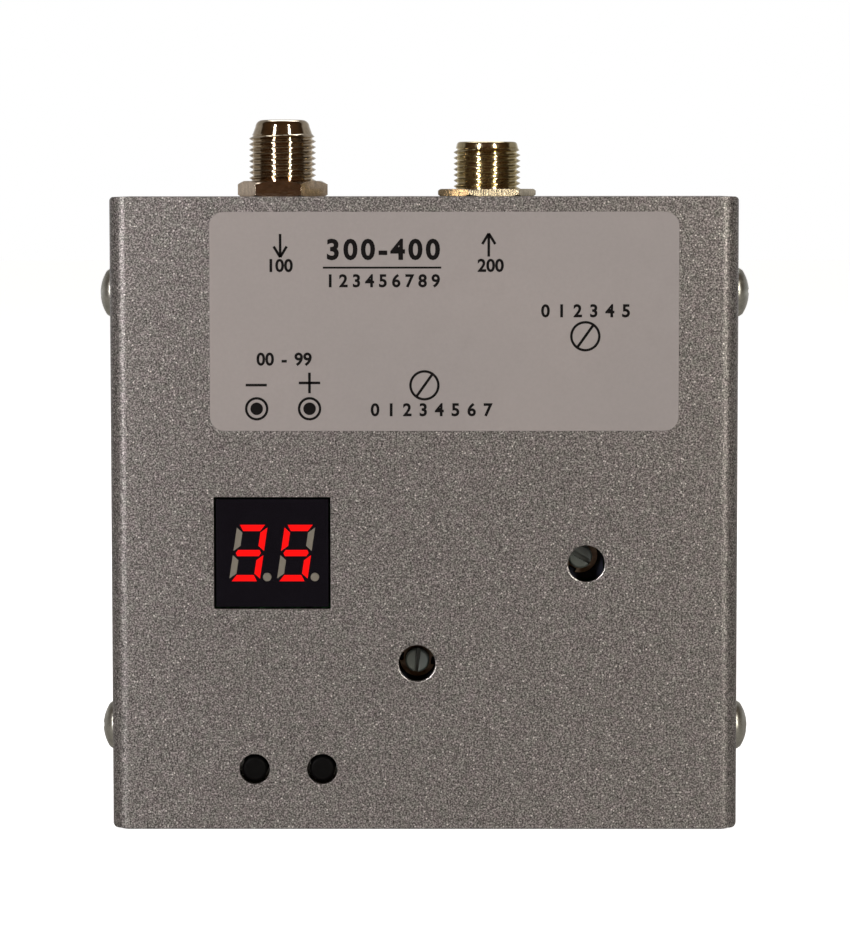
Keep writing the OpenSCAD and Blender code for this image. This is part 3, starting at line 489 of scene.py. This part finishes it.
eased("cover", "cover_painted", 0.0002, paint)
eased("chassis", "chassis_painted", 0.00014, paint)
eased("display_body", "display_face", 0.00008, display_black)
eased("channel_down_button", "down_button_cap", 0.00010, button_black, "down_button", 20)
eased("channel_up_button", "up_button_cap", 0.00010, button_black, "up_button", 20)
for kind in ("audio", "rf"):
    eased(kind + "_trimmer_rotor", kind + "_rotor_knob", 0.00008, rotor_ivory, kind + "_rotor")
    eased(kind + "_trimmer_wiper", kind + "_wiper_plate", 0.00004, wiper_brass, kind + "_rotor")


# Threads

def thread_rod(name, low, high, crest, root, pitch, sides=64):
    """A right-hand threaded rod: one tooth's outline, wound up the axis and cut flat at both ends."""
    eased_crest = crest - 0.00003
    tooth = [(root, 0), (root, 0.06), (eased_crest, 0.42), (crest, 0.46), (crest, 0.54),
             (eased_crest, 0.58), (root, 0.94), (root, 1)]
    turns = math.ceil((high - low) / pitch) + 3
    start = low - 1.5 * pitch
    bpy.ops.object.select_all(action="DESELECT")
    bpy.ops.mesh.primitive_circle_add(vertices=len(tooth), radius=crest, fill_type="NOTHING")
    o = settle(named(name))
    for v, (r, share) in zip(o.data.vertices, tooth):
        v.co = (r, 0, start + share * pitch)
    for v in o.data.vertices:
        v.select = v.index in (0, len(tooth) - 1)
    for e in o.data.edges:
        e.select = set(e.vertices) == {0, len(tooth) - 1}
    bpy.ops.object.mode_set(mode="EDIT")
    bpy.ops.mesh.delete(type="EDGE_FACE")
    bpy.ops.object.mode_set(mode="OBJECT")
    modify(o, "SCREW", axis="Z", angle=2 * math.pi, screw_offset=pitch, iterations=turns, steps=sides,
           render_steps=sides, use_merge_vertices=True, merge_threshold=THREAD_WELD)
    pick(o)
    bpy.ops.object.mode_set(mode="EDIT")
    for at, side in ((low, "clear_inner"), (high, "clear_outer")):
        bpy.ops.mesh.select_all(action="SELECT")
        bpy.ops.mesh.remove_doubles(threshold=THREAD_WELD)
        bpy.ops.mesh.bisect(plane_co=(0, 0, at), plane_no=(0, 0, 1), threshold=FINE_WELD,
                            use_fill=True, **{side: True})
    bpy.ops.object.mode_set(mode="OBJECT")
    return outward(o)


def arc(r, z, size, start, end, steps=6):
    return [(r + size * math.cos(math.radians(a)), z + size * math.sin(math.radians(a)))
            for a in [start + (end - start) * i / steps for i in range(steps + 1)]]


def socket_shell(name, end, nose, material):
    """F socket: one turned body with bore, barrel, shoulder, neck and nose, in a sleeve of thread.

    The nose is given as (radius, depth below the top).
    """
    lo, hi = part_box(end + "_shell")
    nut_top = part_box(end + "_nut")[1].z
    nose = [(r, hi.z - down) for r, down in nose]
    stop = nose[0][1]
    body = lathe(name + "_body", [
        (TAIL_R, lo.z), (BARREL_R, lo.z), (BARREL_R, SHOULDER_LOW), (SHOULDER_R, SHOULDER_LOW),
        (SHOULDER_R, SHOULDER_HIGH), (NECK_R, SHOULDER_HIGH), (NECK_R, nut_top),
        (UNDER_THREAD_R, nut_top + 0.0003), (UNDER_THREAD_R, stop - 0.0001), *nose,
        (BORE_R, hi.z), (BORE_R, lo.z + BORE_FLOOR), (TAIL_R, lo.z + BORE_FLOOR)])
    thread = thread_rod(name, nut_top - 0.0008, stop + 0.0004, CREST_R, ROOT_R, PITCH)
    limit = lathe(name + "_limit", [
        (SLEEVE_R, nut_top - 0.0005), (CLEAR_R, nut_top - 0.0005), (CLEAR_R, stop - 0.0007),
        (CREST_R, stop - 0.0006), (nose[0][0] - 0.00002, stop - 0.00001), (SLEEVE_R, stop - 0.00001)])
    cut(thread, limit, "INTERSECT")
    outward(thread)
    o = joined(name, [body, thread])
    smooth_by(place(o, ((lo.x + hi.x) / 2, 0, 0)), 40)
    dress(o, material, "case", (end + "_shell",))


long_nose = [(0.0042, 0.00195), *arc(0.0028, 0.00105, 0.00105, -4, -84), (0.00281, 0)]
short_nose = [(0.0044, 0.00085), *arc(0.0038, 0.0005, 0.0005, -6, -80), (0.0037, 0)]
socket_shell("rf_in_socket", "rf_in", long_nose, connector_nickel)
socket_shell("rf_out_socket", "rf_out", short_nose, warm_nickel)

eased("rf_in_nut", "rf_in_hex_nut", 0.0002, nut_nickel)
eased("rf_out_nut", "rf_out_hex_nut", 0.00008, knurled_nickel)


# Punched edges

def drawn_rim(x, z):
    """Paint drawn up smooth around the edge of a trimmer's punched hole."""
    r = TRIMMER_HOLE_R
    skin = arc(r + RIM_ROLL_OUT, -RIM_ROLL_IN, RIM_ROLL_R, 102, 116, 8)
    o = lathe("drawn_rim", skin + [(r + 0.00003, -RIM_SUNK), (r + 0.00017, -RIM_SUNK)], 96)
    return smooth_by(place(o, (x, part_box("cover")[0].y, z), (90, 0, 0)), 50)


dress(joined("trimmer_hole_rims", [drawn_rim(x, z) for x, z in TRIMMER_HOLES]), rim_paint)


# Case screws

def cross_screw(name):
    """Pan head with a cross recess that narrows to its floor, and a threaded shank."""
    dome = arc(0, HEAD_HIGH - DOME_R, DOME_R, 90 - DOME_HALF_ANGLE, 88, 9)
    head = turned(name, HEAD_FLANK + dome)
    blade = block(name + "_blade", (-RECESS_ARM, -RECESS_HALF_WIDE, RECESS_FLOOR),
                  (RECESS_ARM, RECESS_HALF_WIDE, HEAD_HIGH + 0.0006))
    pick(blade)
    for v in blade.data.vertices:
        if v.co.z < HEAD_HIGH / 2:
            v.co.x *= 0.42
            v.co.y *= 0.7
    other = twin(blade, name + "_blade_b")
    place(other, turn=(0, 0, 90))
    cut(head, blade)
    cut(head, other)
    rounded_edges(head, 0.00005, 40)
    shank = thread_rod(name + "_shank", SHANK_END, -0.0001, SHANK_R, SHANK_ROOT_R, SHANK_PITCH, 40)
    tip = turned(name + "_tip", TIP, 40)
    return joined(name, [shank, tip, head])


screw = cross_screw("case_screw")
low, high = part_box("case_screws")
to_axis = HEAD_R - 0.00001
heads = []
for side in (-1, 1):
    for z, spin in ((low.z + to_axis, 20), (high.z - to_axis, 65)):
        s = twin(screw, "case_screw_%d" % len(heads))
        place(s, turn=(0, 0, spin + 10 * side))
        heads.append(place(s, (side * (high.x - HEAD_HIGH), 0, z), (0, side * 90, 0)))
bpy.data.objects.remove(screw)
dress(joined("case_screw_set", heads), screw_zinc, "case", ("case_screws",))


# Label

def film_sheet():
    lo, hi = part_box("label_film")
    o = block("label_sheet", (lo.x, lo.y + 2 * INK_HIGH, lo.z), hi)
    pick(o)
    for e in o.data.edges:
        a, b = (o.data.vertices[i].co for i in e.vertices)
        e.select = abs(a.y - b.y) > 0.0001
    for flat in o.data.polygons:
        flat.select = False
    bpy.context.tool_settings.mesh_select_mode = (False, True, False)
    bpy.ops.object.mode_set(mode="EDIT")
    bpy.ops.mesh.bevel(offset=0.002, segments=12, affect="EDGES")
    bpy.ops.object.mode_set(mode="OBJECT")
    bpy.context.tool_settings.mesh_select_mode = (True, False, False)
    rounded_edges(o, 0.00003, 60)
    dress(o, film, "case", ("label_film",))


def bar(a, b, width):
    """A printed stroke from a to b, both (x, z)."""
    a, b = Vector(a), Vector(b)
    d = b - a
    o = block("stroke", (-d.length / 2, -INK_HIGH, -width / 2), (d.length / 2, INK_HIGH, width / 2))
    lean = math.degrees(math.atan2(d.y, d.x))
    return place(o, ((a.x + b.x) / 2, LABEL_FRONT, (a.y + b.y) / 2), (0, -lean, 0))


def ring(x, z, outer, width):
    inner = outer - width
    o = lathe("ring", [(inner, -INK_HIGH), (outer, -INK_HIGH), (outer, INK_HIGH), (inner, INK_HIGH)], 64)
    return place(o, (x, LABEL_FRONT, z), (90, 0, 0))


def disc(x, z, r):
    o = turned("disc", [(r, -INK_HIGH), (r, INK_HIGH)], 48)
    return place(o, (x, LABEL_FRONT, z), (90, 0, 0))


def arrow(x, z, up):
    tip = z + up * ARROW_HALF
    return [bar((x, z - up * ARROW_HALF), (x, tip - up * 0.0001), STROKE),
            *[bar((x + s * BARB_X, tip - up * BARB_Z), (x, tip), STROKE) for s in (-1, 1)]]


def figures(number, x, z, high, weight, spread=1.0):
    """Plain figures, their middle at (x, z)."""
    bpy.ops.object.select_all(action="DESELECT")
    bpy.ops.object.text_add()
    o = bpy.context.object
    o.data.body = number
    o.data.size = high / FIGURE_SHARE
    o.data.offset = weight
    o.data.space_character = spread
    o.data.space_word = 1.5
    o.data.extrude = INK_HIGH
    o.data.align_x = "CENTER"
    o.data.resolution_u = 4
    bpy.ops.object.convert(target="MESH")
    o = named("figures")
    middle = (min(v.co.y for v in o.data.vertices) + max(v.co.y for v in o.data.vertices)) / 2
    place(o, (0, -middle, 0))
    return outward(place(o, (x, LABEL_FRONT, z), (90, 0, 0)), FINE_WELD)


film_sheet()
marks = arrow(-0.01983, 0.08149, -1) + arrow(0.00895, 0.08155, 1)
for start, end in (((-0.02467, 0.06222), (-0.02174, 0.06222)),
                   ((-0.01733, 0.06252), (-0.01435, 0.06252)),
                   ((-0.01584, 0.06109), (-0.01584, 0.06395))):
    marks.append(bar(start, end, STROKE))
for x in (-0.02316, -0.01584):
    marks += [ring(x, BUTTON_MARKS_Z, BUTTON_RING_R, RING_STROKE), disc(x, BUTTON_MARKS_Z, BUTTON_DOT_R)]
for x, z in ((0.00006, 0.06218), (0.02229, 0.06896)):
    marks += [ring(x, z, SLASHED_RING_R, RING_STROKE),
              bar((x - SLASH_X, z - SLASH_Z), (x + SLASH_X, z + SLASH_Z), STROKE)]
for number, x, z, cast in (("100", -0.01991, 0.07874, SMALL_TYPE),
                           ("200", 0.00921, 0.07874, SMALL_TYPE),
                           ("00 - 99", -0.01933, 0.0658, SMALL_TYPE),
                           ("0 1 2 3 4 5", 0.02235, 0.07247, SMALL_TYPE),
                           ("0 1 2 3 4 5 6 7", 0.00102, 0.0588, SMALL_TYPE),
                           ("300-400", -0.00565, 0.08095, LARGE_TYPE),
                           ("123456789", -0.00565, 0.07663, WIDE_TYPE)):
    marks.append(figures(number, x, z, **cast))
marks.append(bar((-0.01395, 0.07844), (0.0024, 0.07844), RULE_STROKE))
dress(joined("label_marks", marks), black_ink)


# Floor, light and camera

def room_glow(tree, way):
    """What metal sees: a dim room in front of the object, pale sides, and the white sweep behind it."""
    split = tree.nodes.new("ShaderNodeSeparateXYZ")
    tree.links.new(way, split.inputs[0])
    height = tree.nodes.new("ShaderNodeMath")
    height.operation = "ABSOLUTE"
    tree.links.new(split.outputs["Z"], height.inputs[0])
    level = tree.nodes.new("ShaderNodeMath")
    level.operation = "MULTIPLY_ADD"
    level.inputs[1].default_value = -CEILING_PULL
    tree.links.new(height.outputs[0], level.inputs[0])
    tree.links.new(split.outputs["Y"], level.inputs[2])
    depth = tree.nodes.new("ShaderNodeMapRange")
    depth.inputs["From Min"].default_value = -1
    tree.links.new(level.outputs[0], depth.inputs["Value"])
    room = tree.nodes.new("ShaderNodeValToRGB")
    stops = room.color_ramp.elements
    while len(stops) < len(ROOM):
        stops.new(0.5)
    for stop, (at, colour) in zip(stops, ROOM):
        stop.position = (at + 1) / 2
        stop.color = (*colour, 1)
    tree.links.new(depth.outputs["Result"], room.inputs["Fac"])
    return room.outputs["Color"]


def pale_floor():
    """A pale floor that meets the white background, and that shows metal the room instead of itself."""
    bpy.ops.object.select_all(action="DESELECT")
    bpy.ops.mesh.primitive_plane_add(size=8, location=(0, 0, -0.00002))
    floor = settle(named("studio_floor"))
    f = Finish("pale_floor", (0.8, 0.8, 0.8), 0.9)
    t = f.tree
    rays = t.nodes.new("ShaderNodeLightPath")
    lift = f.node("ShaderNodeEmission", Color=(1, 1, 1, 1), Strength=0.9)
    lifted = t.nodes.new("ShaderNodeAddShader")
    t.links.new(f.shader.outputs[0], lifted.inputs[0])
    t.links.new(lift.outputs[0], lifted.inputs[1])
    to_eye = t.nodes.new("ShaderNodeMixShader")
    t.links.new(rays.outputs["Is Camera Ray"], to_eye.inputs[0])
    t.links.new(f.shader.outputs[0], to_eye.inputs[1])
    t.links.new(lifted.outputs[0], to_eye.inputs[2])
    sweep = f.node("ShaderNodeEmission", Color=room_glow(t, f.coords), Strength=1.0)
    to_metal = t.nodes.new("ShaderNodeMixShader")
    t.links.new(rays.outputs["Is Glossy Ray"], to_metal.inputs[0])
    t.links.new(to_eye.outputs[0], to_metal.inputs[1])
    t.links.new(sweep.outputs[0], to_metal.inputs[2])
    t.links.new(to_metal.outputs[0], t.nodes["Material Output"].inputs["Surface"])
    floor.data.materials.append(f.mat)


def white_room():
    """White where the camera looks past the object, and the dim room for everything else."""
    world = bpy.data.worlds.new("studio")
    bpy.context.scene.world = world
    world.use_nodes = True
    t = world.node_tree
    t.nodes.clear()
    rays = t.nodes.new("ShaderNodeLightPath")
    way = t.nodes.new("ShaderNodeTexCoord")
    dim = t.nodes.new("ShaderNodeBackground")
    dim.inputs["Strength"].default_value = 0.8
    t.links.new(room_glow(t, way.outputs["Generated"]), dim.inputs["Color"])
    white = t.nodes.new("ShaderNodeBackground")
    white.inputs["Color"].default_value = (1, 1, 1, 1)
    direct = t.nodes.new("ShaderNodeMath")
    direct.operation = "MAXIMUM"
    t.links.new(rays.outputs["Is Camera Ray"], direct.inputs[0])
    t.links.new(rays.outputs["Is Transmission Ray"], direct.inputs[1])
    mix = t.nodes.new("ShaderNodeMixShader")
    out = t.nodes.new("ShaderNodeOutputWorld")
    t.links.new(direct.outputs[0], mix.inputs[0])
    t.links.new(dim.outputs[0], mix.inputs[1])
    t.links.new(white.outputs[0], mix.inputs[2])
    t.links.new(mix.outputs[0], out.inputs["Surface"])


def hang_lamp(name, azimuth, elevation, away, wide, tall, power, tint):
    lamp = bpy.data.lights.new(name, "AREA")
    lamp.shape = "RECTANGLE"
    lamp.size, lamp.size_y = wide, tall
    lamp.energy = power
    lamp.color = tint
    o = bpy.data.objects.new(name, lamp)
    bpy.context.scene.collection.objects.link(o)
    a, e = math.radians(azimuth), math.radians(elevation)
    back = Vector((math.sin(a) * math.cos(e), -math.cos(a) * math.cos(e), math.sin(e)))
    o.location = LAMPS_AIM + back * away
    o.rotation_euler = (-back).to_track_quat("-Z", "Y").to_euler()


def set_camera():
    eye = bpy.data.objects.new("camera", bpy.data.cameras.new("camera"))
    bpy.context.scene.collection.objects.link(eye)
    eye.location = CAMERA_AT
    eye.rotation_euler = [math.radians(a) for a in CAMERA_TURN]
    eye.data.lens = FOCAL_PX * SENSOR_MM / PICTURE_HEIGHT_PX
    eye.data.clip_start, eye.data.clip_end = 0.02, 50
    bpy.context.scene.camera = eye


pale_floor()
white_room()
for name, settings in LAMPS.items():
    hang_lamp(name, *settings)
set_camera()
bpy.context.scene.view_settings.view_transform = "Standard"
